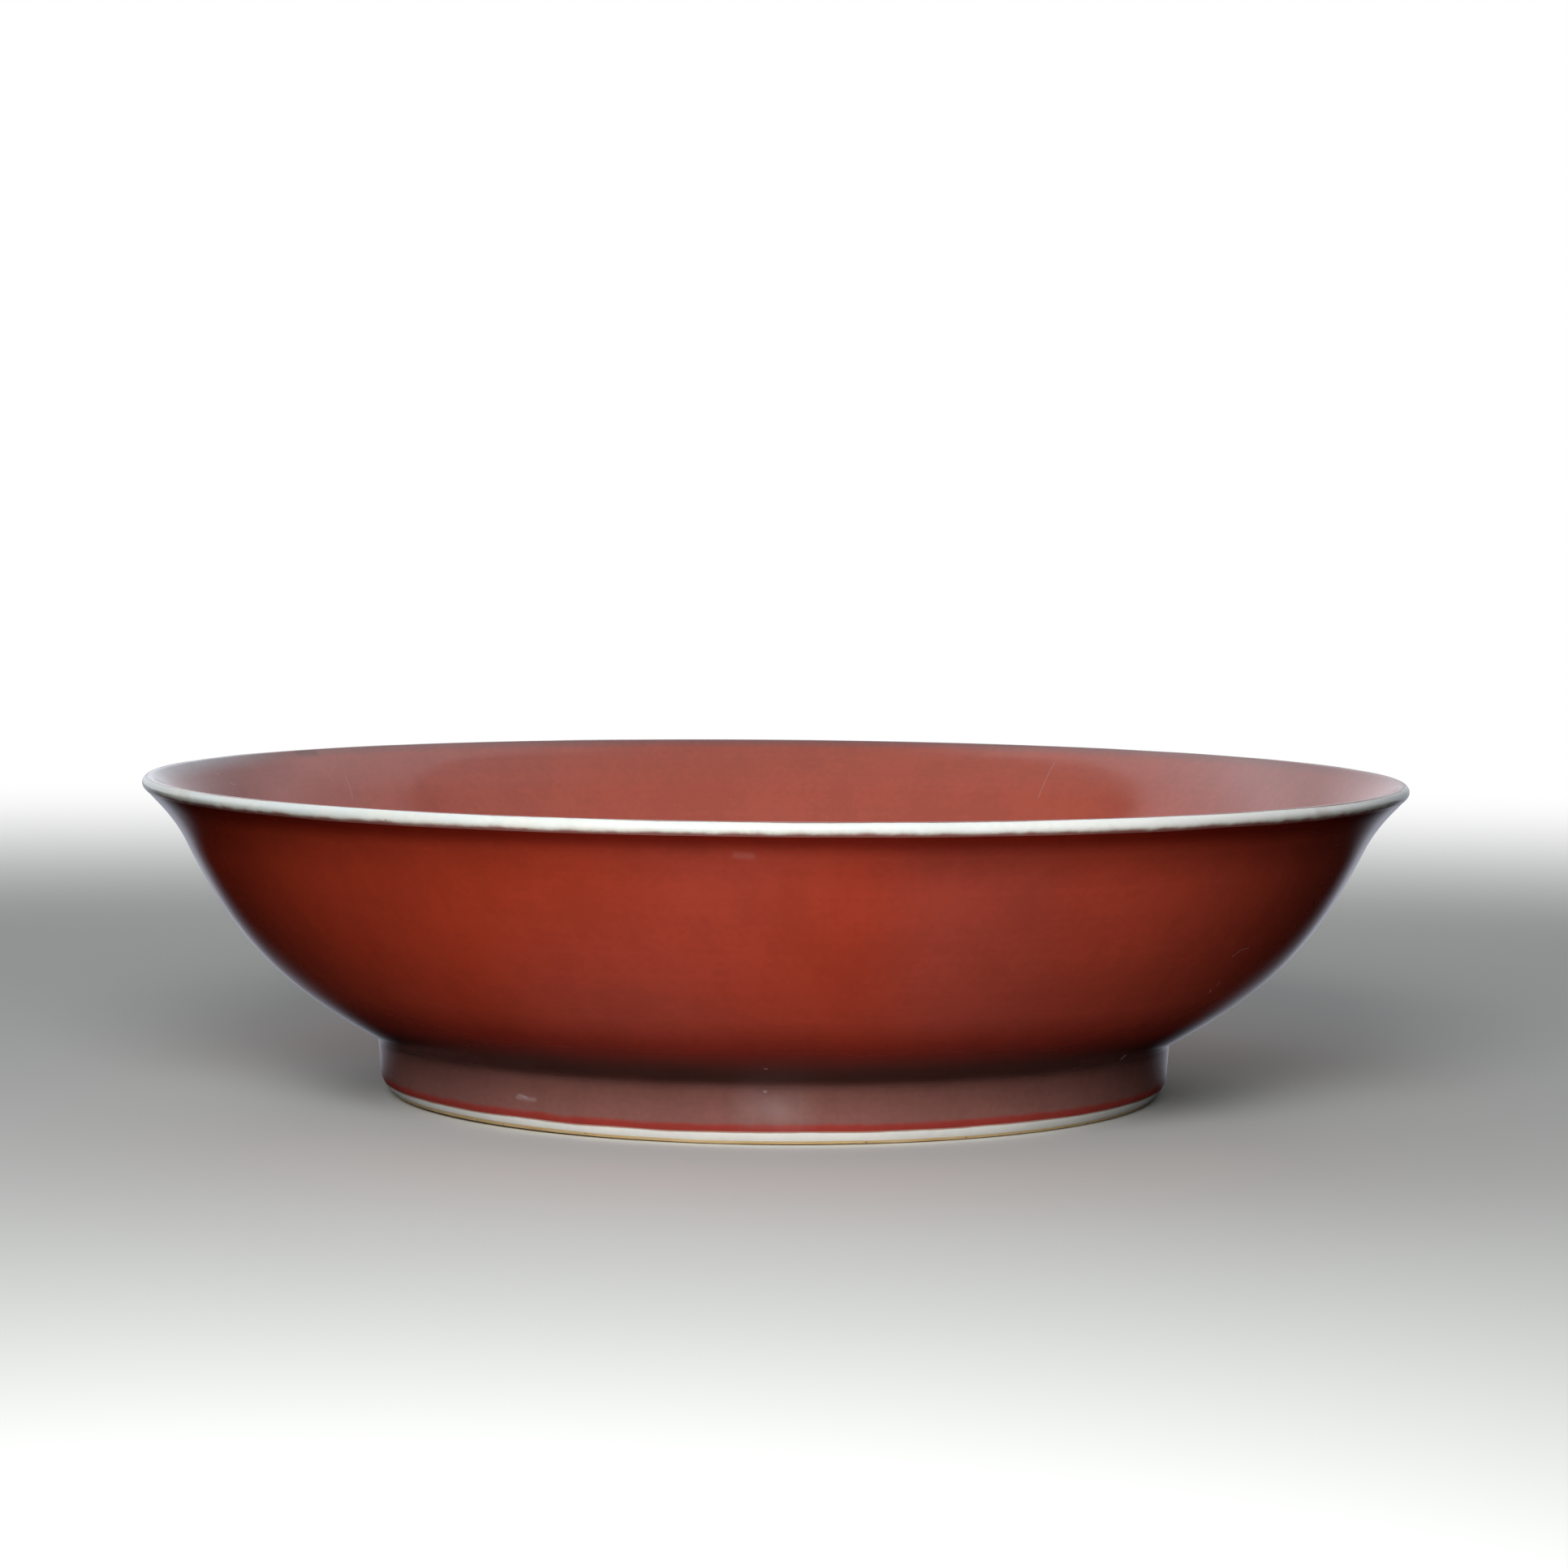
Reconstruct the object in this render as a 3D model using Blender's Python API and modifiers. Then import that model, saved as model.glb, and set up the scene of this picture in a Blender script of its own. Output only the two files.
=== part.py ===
"""A deep glazed porcelain dish on a foot ring, turned about Z.

The finished outside follows one section line. The bowl and its foot ring lie under that line, and each
glaze is a coat of its own on them: red inside and outside, white round the outer side of the lip, the
foot and the base.
Metres, +Z up, origin on the table under the middle of the foot.
"""

import math

import bpy
import numpy as np

# Rim and lip
RIM_RADIUS = 0.105
DISH_HEIGHT = 0.0527
LIP_THICKNESS = 0.0022
LIP_ANGLE = math.radians(45.0)

# Neck, the steepest part of the wall, measured from the rim
NECK_INSET = 0.0071
NECK_DROP = 0.0106
NECK_ANGLE = math.radians(64.0)

# Wall, from the crease above the foot to the neck
WALL_FOOT_THICKNESS = 0.0042
WALL_FOOT_ANGLE = math.radians(29.0)
WALL_LOWER_FULLNESS = 0.446
WALL_UPPER_FULLNESS = 0.348
FLARE_FULLNESS = 0.36

# Well, the flat middle of the inside
FLOOR_THICKNESS = 0.0050
FLOOR_EASE = 0.0140

# Foot ring
FOOT_RADIUS = 0.0663
FOOT_HEIGHT = 0.0094
FOOT_TAPER = 0.0004
FOOT_ROUND_WIDTH = 0.0030
FOOT_ROUND_HEIGHT = 0.0044
FOOT_REST_WIDTH = 0.0024
FOOT_INNER_ROUND = 0.0007
FOOT_INNER_LEAN = 0.0012
BASE_DROP = 0.0029
BASE_FILLET = 0.0020

# Glaze coats
GLAZE_THICKNESS = 0.0004
LIP_RED_OVER = 0.0012
RIM_WHITE_OUTSIDE = 0.0001
FOOT_WHITE_WIDTH = 0.0018
FOOT_BARE_OUTSIDE = 0.0017
FOOT_BARE_INSIDE = 0.0006

# Clearance between pieces that touch
FIT_GAP = 0.0003

# Facets of the turned shapes
TURN_STEPS = 48
WALL_SEGMENTS = 6
FLARE_SEGMENTS = 3
LIP_SEGMENTS = 4
COVE_SEGMENTS = 4
FOOT_ROUND_SEGMENTS = 4
INNER_ROUND_SEGMENTS = 2
BASE_FILLET_SEGMENTS = 4
MERGE_DISTANCE = 0.00001

COLLECTION_NAME = "glazed_dish"
RED_GLAZE = ((0.33, 0.030, 0.014), 0.18)
WHITE_GLAZE = ((0.74, 0.75, 0.70), 0.20)
BISCUIT = ((0.62, 0.53, 0.38), 0.75)


def direction(angle):
    """Unit vector in the section plane, from an angle above +X."""
    return np.array((math.cos(angle), math.sin(angle)))


def bezier(start, end, angles, fullness, segments):
    """Points of a curve that leaves start and reaches end at a pair of angles."""
    start = np.array(start)
    end = np.array(end)
    chord = np.linalg.norm(end - start)
    first_pull = start + direction(angles[0]) * fullness[0] * chord
    second_pull = end - direction(angles[1]) * fullness[1] * chord
    points = []
    for step in range(segments + 1):
        t = step / segments
        u = 1.0 - t
        points.append(u**3 * start + 3 * u**2 * t * first_pull + 3 * u * t**2 * second_pull + t**3 * end)
    return points


def arc(centre, radius_x, radius_z, start_angle, end_angle, segments):
    """Points of an elliptical arc in the section plane."""
    points = []
    for step in range(segments + 1):
        angle = start_angle + (end_angle - start_angle) * step / segments
        radius = centre[0] + radius_x * math.cos(angle)
        height = centre[1] + radius_z * math.sin(angle)
        points.append(np.array((radius, height)))
    return points


def thickened(wall, first_thickness, last_thickness):
    """Inner face of a wall whose thickness changes steadily along its outer face."""
    wall = np.array(wall)
    along = np.gradient(wall, axis=0)
    along /= np.linalg.norm(along, axis=1)[:, None]
    along[0] = direction(WALL_FOOT_ANGLE)
    along[-1] = direction(LIP_ANGLE)
    inward = np.stack((-along[:, 1], along[:, 0]), axis=1)
    steps = np.linalg.norm(np.diff(wall, axis=0), axis=1)
    distance = np.concatenate(([0.0], np.cumsum(steps)))
    thickness = np.interp(distance, (0.0, distance[-1]), (first_thickness, last_thickness))
    return list(wall + inward * thickness[:, None])


def lip_points():
    """Round edge of the lip, from its inner side over the top to its under side."""
    radius = LIP_THICKNESS / 2
    centre = (RIM_RADIUS - radius, DISH_HEIGHT - radius)
    return arc(centre, radius, radius, LIP_ANGLE + math.pi / 2, LIP_ANGLE - math.pi / 2, LIP_SEGMENTS)


def wall_points():
    """Outer face of the bowl, from the crease above the foot to the under side of the lip."""
    crease = (FOOT_RADIUS, FOOT_HEIGHT)
    neck = (RIM_RADIUS - NECK_INSET, DISH_HEIGHT - NECK_DROP)
    lip = lip_points()[-1]
    wall_angles = (WALL_FOOT_ANGLE, NECK_ANGLE)
    wall_fullness = (WALL_LOWER_FULLNESS, WALL_UPPER_FULLNESS)
    lower = bezier(crease, neck, wall_angles, wall_fullness, WALL_SEGMENTS)
    flare_angles = (NECK_ANGLE, LIP_ANGLE)
    flare = bezier(neck, lip, flare_angles, (FLARE_FULLNESS, FLARE_FULLNESS), FLARE_SEGMENTS)
    return lower + flare[1:]


def cove_points(floor_edge, below, meet, above):
    """Curve from the edge of the flat floor up to a point of the inner wall, tangent to both."""
    along = above - below
    corner_radius = meet[0] - (meet[1] - floor_edge[1]) * along[0] / along[1]
    corner = np.array((corner_radius, floor_edge[1]))
    points = []
    for step in range(COVE_SEGMENTS + 1):
        t = step / COVE_SEGMENTS
        u = 1.0 - t
        points.append(u**2 * floor_edge + 2 * u * t * corner + t**2 * meet)
    return points


def inside_points():
    """Inner face of the bowl, from the middle of the well to the lip."""
    inner_wall = thickened(wall_points(), WALL_FOOT_THICKNESS, LIP_THICKNESS)
    floor_height = FOOT_HEIGHT - BASE_DROP + FLOOR_THICKNESS
    floor_edge = np.array((FOOT_RADIUS - FLOOR_EASE, floor_height))
    cove = cove_points(floor_edge, inner_wall[0], inner_wall[1], inner_wall[2])
    return [np.array((0.0, floor_height))] + cove + inner_wall[2:]


def foot_outside_points():
    """Outer face of the foot below the crease, down to the edge of its flat rest."""
    wall_radius = FOOT_RADIUS - FOOT_TAPER
    centre = (wall_radius - FOOT_ROUND_WIDTH, FOOT_ROUND_HEIGHT)
    return arc(centre, FOOT_ROUND_WIDTH, FOOT_ROUND_HEIGHT, 0.0, -math.pi / 2, FOOT_ROUND_SEGMENTS)


def foot_inside_points():
    """Inner face of the foot, from its flat rest up to the fillet, and the fillet to the base."""
    rest_inner = FOOT_RADIUS - FOOT_TAPER - FOOT_ROUND_WIDTH - FOOT_REST_WIDTH
    base_height = FOOT_HEIGHT - BASE_DROP
    low_centre = (rest_inner, FOOT_INNER_ROUND)
    low = arc(low_centre, FOOT_INNER_ROUND, FOOT_INNER_ROUND, -math.pi / 2, -math.pi, INNER_ROUND_SEGMENTS)
    corner = rest_inner - FOOT_INNER_ROUND - FOOT_INNER_LEAN
    high_centre = (corner - BASE_FILLET, base_height - BASE_FILLET)
    high = arc(high_centre, BASE_FILLET, BASE_FILLET, 0.0, math.pi / 2, BASE_FILLET_SEGMENTS)
    return low, high


class Outline:
    """The finished section line, with a parallel line at any depth under it."""

    def __init__(self):
        inside = inside_points()
        lip = lip_points()
        wall = wall_points()[::-1]
        foot_outside = foot_outside_points()
        foot_low, foot_high = foot_inside_points()
        base_middle = [np.array((0.0, FOOT_HEIGHT - BASE_DROP))]
        line = inside + lip[1:] + wall[1:] + foot_outside + foot_low + foot_high + base_middle
        self.points = np.array(line)

        steps = np.diff(self.points, axis=0)
        lengths = np.linalg.norm(steps, axis=1)
        self.distance = np.concatenate(([0.0], np.cumsum(lengths)))
        normals = np.stack((steps[:, 1], -steps[:, 0]), axis=1) / lengths[:, None]
        before = np.vstack((normals[:1], normals))
        after = np.vstack((normals, normals[-1:]))
        self.inward = (before + after) / (1.0 + np.sum(before * after, axis=1))[:, None]

        self.lip_inner = self.distance[len(inside) - 1]
        self.lip_outer = self.distance[len(inside) + len(lip) - 2]
        crease_index = len(inside) + len(lip) + len(wall) - 3
        rest_outer_index = crease_index + len(foot_outside)
        fillet_index = rest_outer_index + len(foot_low)
        self.crease = self.distance[crease_index]
        self.rest_outer = self.distance[rest_outer_index]
        self.rest_inner = self.distance[rest_outer_index + 1]
        self.seam_inner = self.distance[fillet_index + 1 + BASE_FILLET_SEGMENTS // 2]
        self.middle = self.distance[-1]

    def line(self, start, end, depth):
        """Points between two distances along the outline, at a depth under it."""
        between = (self.distance > start + MERGE_DISTANCE) & (self.distance < end - MERGE_DISTANCE)
        stations = np.concatenate(([start], self.distance[between], [end]))
        under = self.points + depth * self.inward
        radius = np.interp(stations, self.distance, under[:, 0])
        height = np.interp(stations, self.distance, under[:, 1])
        return list(zip(radius.tolist(), height.tolist()))


def glazed(colour_and_roughness, name):
    """Principled material for one piece."""
    colour, roughness = colour_and_roughness
    material = bpy.data.materials.new(name)
    material.use_nodes = True
    shader = material.node_tree.nodes["Principled BSDF"]
    shader.inputs["Base Color"].default_value = (*colour, 1.0)
    shader.inputs["Roughness"].default_value = roughness
    shader.inputs["Metallic"].default_value = 0.0
    return material


def turned(name, profile, finish, parent, collection):
    """A solid turned from a section profile, which is closed unless both its ends are on the axis."""
    on_axis = profile[0][0] == 0.0 and profile[-1][0] == 0.0
    last = len(profile) - 1
    edges = [(index, index + 1) for index in range(last)]
    if not on_axis:
        edges.append((last, 0))
    mesh = bpy.data.meshes.new(name)
    mesh.from_pydata([(radius, 0.0, height) for radius, height in profile], edges, [])
    mesh.materials.append(glazed(finish, name))
    piece = bpy.data.objects.new(name, mesh)
    screw = piece.modifiers.new("turn", "SCREW")
    screw.axis = "Z"
    screw.angle = 2 * math.pi
    screw.steps = TURN_STEPS
    screw.render_steps = TURN_STEPS
    screw.use_merge_vertices = True
    screw.merge_threshold = MERGE_DISTANCE
    screw.use_smooth_shade = True
    piece.parent = parent
    collection.objects.link(piece)
    return piece


def coat(outline, start, end):
    """Section of a glaze coat that covers the outline between two distances."""
    outer = outline.line(start, end, 0.0)
    under = outline.line(start, end, GLAZE_THICKNESS)
    if end == outline.middle:
        return under[::-1] + outer
    return outer + under[::-1]


def bowl_section(outline):
    """The bowl under its coats, with a plain seat for the foot ring below."""
    depth = GLAZE_THICKNESS + FIT_GAP
    upper = outline.line(0.0, outline.crease, depth)
    base = outline.line(outline.seam_inner, outline.middle, depth)
    return upper + base


def foot_ring_section(outline, white_end, base_start):
    """The foot ring under its coats, bare and flush with them round its flat rest."""
    depth = GLAZE_THICKNESS + FIT_GAP
    outside = outline.line(outline.crease + FIT_GAP, white_end + FIT_GAP, depth)
    bare = outline.line(white_end + FIT_GAP, base_start - FIT_GAP, 0.0)
    inside = outline.line(base_start - FIT_GAP, outline.seam_inner - FIT_GAP, depth)
    return outside + bare + inside


def build():
    """Clear the scene and make every piece of the dish."""
    for old in list(bpy.data.objects):
        bpy.data.objects.remove(old, do_unlink=True)

    collection = bpy.data.collections.new(COLLECTION_NAME)
    bpy.context.scene.collection.children.link(collection)
    origin = bpy.data.objects.new("dish_origin", None)
    collection.objects.link(origin)

    outline = Outline()
    rim_start = outline.lip_inner + LIP_RED_OVER
    rim_end = outline.lip_outer + RIM_WHITE_OUTSIDE
    white_end = outline.rest_outer - FOOT_BARE_OUTSIDE
    red_end = white_end - FOOT_WHITE_WIDTH
    base_start = outline.rest_inner + FOOT_BARE_INSIDE

    sections = {
        "bowl": (bowl_section(outline), BISCUIT),
        "foot_ring": (foot_ring_section(outline, white_end, base_start), BISCUIT),
        "inner_red_glaze": (coat(outline, 0.0, rim_start - FIT_GAP), RED_GLAZE),
        "rim_white_glaze": (coat(outline, rim_start, rim_end), WHITE_GLAZE),
        "outer_red_glaze": (coat(outline, rim_end + FIT_GAP, red_end), RED_GLAZE),
        "foot_white_glaze": (coat(outline, red_end + FIT_GAP, white_end), WHITE_GLAZE),
        "base_white_glaze": (coat(outline, base_start, outline.middle), WHITE_GLAZE),
    }
    for name, (profile, finish) in sections.items():
        turned(name, profile, finish, origin, collection)


build()
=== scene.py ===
"""Looks of the deep red-glazed dish: fine turned coats of glaze, studio light and the photograph's camera."""

import math

import bpy
import numpy as np
from mathutils import Matrix, Vector


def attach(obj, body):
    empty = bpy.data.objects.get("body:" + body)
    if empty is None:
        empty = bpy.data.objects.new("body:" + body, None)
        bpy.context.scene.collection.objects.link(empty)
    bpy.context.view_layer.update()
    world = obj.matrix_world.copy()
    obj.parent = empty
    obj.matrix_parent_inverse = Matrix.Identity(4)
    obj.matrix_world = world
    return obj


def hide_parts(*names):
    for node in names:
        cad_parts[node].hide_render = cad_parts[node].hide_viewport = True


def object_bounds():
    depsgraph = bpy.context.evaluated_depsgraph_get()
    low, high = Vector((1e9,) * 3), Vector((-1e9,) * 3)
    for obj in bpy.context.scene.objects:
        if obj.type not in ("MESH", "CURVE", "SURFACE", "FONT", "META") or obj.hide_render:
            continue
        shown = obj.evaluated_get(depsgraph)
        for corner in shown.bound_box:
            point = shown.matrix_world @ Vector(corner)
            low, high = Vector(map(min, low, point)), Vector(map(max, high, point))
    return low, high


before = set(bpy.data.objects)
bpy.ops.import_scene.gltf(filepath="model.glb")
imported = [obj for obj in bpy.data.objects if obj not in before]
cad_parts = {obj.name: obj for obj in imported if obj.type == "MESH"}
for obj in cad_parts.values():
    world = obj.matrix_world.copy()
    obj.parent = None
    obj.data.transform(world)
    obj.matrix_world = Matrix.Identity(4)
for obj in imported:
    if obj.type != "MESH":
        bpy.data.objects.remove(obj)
CAD_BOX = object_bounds()

MM_PER_METRE = 1000

# Sizes shared with the solids, in metres and radians. The rim and height come from the frame.
RIM_RADIUS = CAD_BOX[1].x
DISH_HEIGHT = CAD_BOX[1].z
LIP_THICKNESS = 0.0022
LIP_ANGLE = math.radians(45.0)
NECK_INSET = 0.0071
NECK_DROP = 0.0106
NECK_ANGLE = math.radians(64.0)
WALL_FOOT_THICKNESS = 0.0042
WALL_FOOT_ANGLE = math.radians(29.0)
WALL_LOWER_FULLNESS = 0.446
WALL_UPPER_FULLNESS = 0.348
FLARE_FULLNESS = 0.36
FLOOR_THICKNESS = 0.0050
FLOOR_EASE = 0.0140
FOOT_RADIUS = 0.0663
FOOT_HEIGHT = 0.0094
FOOT_TAPER = 0.0004
FOOT_ROUND_WIDTH = 0.0030
FOOT_ROUND_HEIGHT = 0.0044
FOOT_REST_WIDTH = 0.0024
FOOT_INNER_ROUND = 0.0007
FOOT_INNER_LEAN = 0.0012
BASE_DROP = 0.0029
BASE_FILLET = 0.0020
GLAZE_THICKNESS = 0.0004
LIP_RED_OVER = 0.0012
RIM_WHITE_OUTSIDE = 0.0001
FOOT_BARE_INSIDE = 0.0006

# Fineness of the turned skins: counts, steps beside an edge in metres, and the angle that keeps an edge crisp
COLUMNS = 256
WALL_SEGMENTS = 48
COVE_JOIN = WALL_SEGMENTS // 6
FLARE_SEGMENTS = 14
LIP_SEGMENTS = 18
COVE_SEGMENTS = 14
FLOOR_SEGMENTS = 20
CREASE_SEGMENTS = 8
FOOT_WALL_SEGMENTS = 8
FOOT_ROUND_SEGMENTS = 16
CHAMFER_SEGMENTS = 3
REST_SEGMENTS = 4
INNER_ROUND_SEGMENTS = 5
INNER_WALL_SEGMENTS = 6
BASE_FILLET_SEGMENTS = 8
BASE_SEGMENTS = 20
UNDER_STRIDE = 5
FOOT_HIDDEN_ROWS = 12
BASE_HIDDEN_ROWS = 8
EDGE_STEPS = (0.00012, 0.0003, 0.0006)
EDGE_CLEAR = 0.0008
SHARP_ANGLE = math.radians(50.0)

# Hand finish, in metres and radians: a glaze-filled crease, a worn edge and a bare patch on the foot,
# wandering glaze edges, thin or beaded, and faint turning rings
CREASE_FILLET = 0.0011
FOOT_CHAMFER = 0.0005
FOOT_WHITE_WIDTH = 0.0021
FOOT_BARE_OUTSIDE = 0.00062
BARE_PATCH_WIDTH = 0.0007
BARE_PATCH_BEARING = 3.8
BARE_PATCH_SPREAD = 0.5
EDGE_REACH = 0.0030
RIM_SOFT_EDGE = 0.0004
RIM_WANDER = 0.00016
FOOT_WANDER = 0.00012
WANDER_WAVES = range(2, 36)
EDGE_THIN = 0.00005
EDGE_THIN_LENGTH = 0.0006
BEAD_HEIGHT = 0.00006
BEAD_INSET = 0.0006
BEAD_WIDTH = 0.0005
RING_HEIGHT = 0.0000022
RING_LENGTHS = (0.0037, 0.0053, 0.0089)
RING_DRIFT = 2.0
RING_TURN = 900
RING_EASE = 0.004

# Photograph's camera, solved from the outline of the dish, in metres, radians and pixels, with its sensor in
# millimetres
CAMERA_BACK = 0.700
CAMERA_HEIGHT = 0.09807
CAMERA_YAW = 0.0019
CAMERA_PITCH = 0.067
CAMERA_ROLL = 0.0085
PHOTO_SIZE = 1932
FOCAL_PIXELS = 5159
SENSOR_WIDTH = 36.0
CLIP_START = 0.01

ANGLES = np.linspace(0.0, 2 * math.pi, COLUMNS, endpoint=False)


# Section of the dish

def direction(angle):
    """Unit vector in the section plane, from an angle above +X."""
    return np.array((math.cos(angle), math.sin(angle)))


def bezier(start, end, angles, fullness, segments):
    """Points of a curve that leaves start and reaches end at a pair of angles."""
    start = np.array(start)
    end = np.array(end)
    chord = np.linalg.norm(end - start)
    first_pull = start + direction(angles[0]) * fullness[0] * chord
    second_pull = end - direction(angles[1]) * fullness[1] * chord
    points = []
    for step in range(segments + 1):
        t = step / segments
        u = 1.0 - t
        points.append(u**3 * start + 3 * u**2 * t * first_pull + 3 * u * t**2 * second_pull + t**3 * end)
    return points


def quadratic(start, corner, end, segments):
    """Points of a curve from start to end that leans towards a corner."""
    points = []
    for step in range(segments + 1):
        t = step / segments
        u = 1.0 - t
        points.append(u**2 * start + 2 * u * t * corner + t**2 * end)
    return points


def arc(centre, radius_x, radius_z, start_angle, end_angle, segments):
    """Points of an elliptical arc in the section plane."""
    points = []
    for step in range(segments + 1):
        angle = start_angle + (end_angle - start_angle) * step / segments
        x = centre[0] + radius_x * math.cos(angle)
        z = centre[1] + radius_z * math.sin(angle)
        points.append(np.array((x, z)))
    return points


def straight(start, end, segments):
    """Points along a straight line, without its last one."""
    return [np.array(start) + (np.array(end) - np.array(start)) * step / segments for step in range(segments)]


def thickened(wall, first_thickness, last_thickness):
    """Inner face of a wall whose thickness changes steadily along its outer face."""
    wall = np.array(wall)
    along = np.gradient(wall, axis=0)
    along /= np.linalg.norm(along, axis=1)[:, None]
    along[0] = direction(WALL_FOOT_ANGLE)
    along[-1] = direction(LIP_ANGLE)
    inward = np.stack((-along[:, 1], along[:, 0]), axis=1)
    steps = np.linalg.norm(np.diff(wall, axis=0), axis=1)
    distance = np.concatenate(([0.0], np.cumsum(steps)))
    thickness = np.interp(distance, (0.0, distance[-1]), (first_thickness, last_thickness))
    return list(wall + inward * thickness[:, None])


def lip_points():
    """Round edge of the lip, from its inner side over the top to its under side."""
    radius = LIP_THICKNESS / 2
    centre = (RIM_RADIUS - radius, DISH_HEIGHT - radius)
    return arc(centre, radius, radius, LIP_ANGLE + math.pi / 2, LIP_ANGLE - math.pi / 2, LIP_SEGMENTS)


def wall_points():
    """Outer face of the bowl, from the crease above the foot to the under side of the lip."""
    crease = (FOOT_RADIUS, FOOT_HEIGHT)
    neck = (RIM_RADIUS - NECK_INSET, DISH_HEIGHT - NECK_DROP)
    wall_angles = (WALL_FOOT_ANGLE, NECK_ANGLE)
    lower = bezier(crease, neck, wall_angles, (WALL_LOWER_FULLNESS, WALL_UPPER_FULLNESS), WALL_SEGMENTS)
    flare_angles = (NECK_ANGLE, LIP_ANGLE)
    flare = bezier(neck, lip_points()[-1], flare_angles, (FLARE_FULLNESS, FLARE_FULLNESS), FLARE_SEGMENTS)
    return lower + flare[1:]


def cove_points(floor_edge, inner_wall):
    """Curve from the flat floor up to the inner wall, which it meets at the wall's point COVE_JOIN."""
    meet = inner_wall[COVE_JOIN]
    along = inner_wall[COVE_JOIN + 1] - inner_wall[COVE_JOIN - 1]
    corner = np.array((meet[0] - (meet[1] - floor_edge[1]) * along[0] / along[1], floor_edge[1]))
    return quadratic(floor_edge, corner, meet, COVE_SEGMENTS)


def inside_points():
    """Inner face of the bowl, from the middle of the well to the lip."""
    inner_wall = thickened(wall_points(), WALL_FOOT_THICKNESS, LIP_THICKNESS)
    floor_height = FOOT_HEIGHT - BASE_DROP + FLOOR_THICKNESS
    floor_edge = np.array((FOOT_RADIUS - FLOOR_EASE, floor_height))
    floor = straight((0.0, floor_height), floor_edge, FLOOR_SEGMENTS)
    return floor + cove_points(floor_edge, inner_wall) + inner_wall[COVE_JOIN + 1:]


def crease_points(wall, foot_top):
    """Small hollow that the glaze fills where the wall meets the foot, from the wall down to the foot."""
    crease = np.array((FOOT_RADIUS, FOOT_HEIGHT))
    up_wall = np.array(wall[-2]) - crease
    down_foot = foot_top - crease
    start = crease + up_wall / np.linalg.norm(up_wall) * CREASE_FILLET
    end = crease + down_foot / np.linalg.norm(down_foot) * CREASE_FILLET
    return quadratic(start, crease, end, CREASE_SEGMENTS)


class Outline:
    """The finished section line, with places along it and a parallel line at any depth."""

    def __init__(self):
        inside = inside_points()
        lip = lip_points()
        wall = wall_points()[::-1]
        foot_wall_radius = FOOT_RADIUS - FOOT_TAPER
        round_centre = (foot_wall_radius - FOOT_ROUND_WIDTH, FOOT_ROUND_HEIGHT)
        chamfer_turn = -math.asin(1.0 - FOOT_CHAMFER / FOOT_ROUND_HEIGHT)
        foot_round = arc(round_centre, FOOT_ROUND_WIDTH, FOOT_ROUND_HEIGHT, 0.0, chamfer_turn,
                         FOOT_ROUND_SEGMENTS)
        crease = crease_points(wall, foot_round[0])
        rest_outer = np.array((foot_round[-1][0] - FOOT_CHAMFER, 0.0))
        rest_inner = np.array((round_centre[0] - FOOT_REST_WIDTH, 0.0))
        low_centre = rest_inner + np.array((0.0, FOOT_INNER_ROUND))
        low = arc(low_centre, FOOT_INNER_ROUND, FOOT_INNER_ROUND, -math.pi / 2, -math.pi,
                  INNER_ROUND_SEGMENTS)
        base_height = FOOT_HEIGHT - BASE_DROP
        corner = rest_inner[0] - FOOT_INNER_ROUND - FOOT_INNER_LEAN
        high_centre = (corner - BASE_FILLET, base_height - BASE_FILLET)
        high = arc(high_centre, BASE_FILLET, BASE_FILLET, 0.0, math.pi / 2, BASE_FILLET_SEGMENTS)
        middle = np.array((0.0, base_height))

        parts = (
            inside,
            lip[1:],
            wall[1:-1],
            crease[:-1],
            straight(crease[-1], foot_round[0], FOOT_WALL_SEGMENTS),
            foot_round[:-1] + straight(foot_round[-1], rest_outer, CHAMFER_SEGMENTS),
            straight(rest_outer, rest_inner, REST_SEGMENTS),
            low[:-1],
            straight(low[-1], high[0], INNER_WALL_SEGMENTS),
            high[:-1],
            straight(high[-1], middle, BASE_SEGMENTS) + [middle],
        )
        self.points = np.array([point for part in parts for point in part])
        ends = np.cumsum([len(part) for part in parts])

        steps = np.diff(self.points, axis=0)
        lengths = np.linalg.norm(steps, axis=1)
        self.distance = np.concatenate(([0.0], np.cumsum(lengths)))
        normals = np.stack((-steps[:, 1], steps[:, 0]), axis=1) / lengths[:, None]
        before = np.vstack((normals[:1], normals))
        after = np.vstack((normals, normals[-1:]))
        outward = before + after
        self.outward = outward / np.linalg.norm(outward, axis=1)[:, None]
        self.outward[0] = (0.0, 1.0)
        self.outward[-1] = (0.0, -1.0)

        self.lip_inner = self.distance[ends[0] - 1]
        self.lip_outer = self.distance[ends[1] - 1]
        self.crease = self.distance[ends[2]]
        self.rest_outer = self.distance[ends[5]]
        self.rest_inner = self.distance[ends[6]]
        self.base_corner = self.distance[ends[8] + BASE_FILLET_SEGMENTS // 2]
        self.middle = self.distance[-1]

    def at(self, stations, height):
        """Points at distances along the line, raised above it by a height."""
        place = [np.interp(stations, self.distance, self.points[:, axis]) for axis in (0, 1)]
        normal = [np.interp(stations, self.distance, self.outward[:, axis]) for axis in (0, 1)]
        return np.stack((place[0] + normal[0] * height, place[1] + normal[1] * height), axis=-1)


OUTLINE = Outline()


def wander(amount, seed):
    """A closed uneven line round the dish: how far a glaze edge strays at each column."""
    random = np.random.RandomState(seed)
    total = np.zeros(COLUMNS)
    for wave in WANDER_WAVES:
        total += np.sin(wave * ANGLES + random.uniform(0.0, 2 * math.pi)) / math.sqrt(wave)
    return amount * total / np.abs(total).max()


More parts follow.
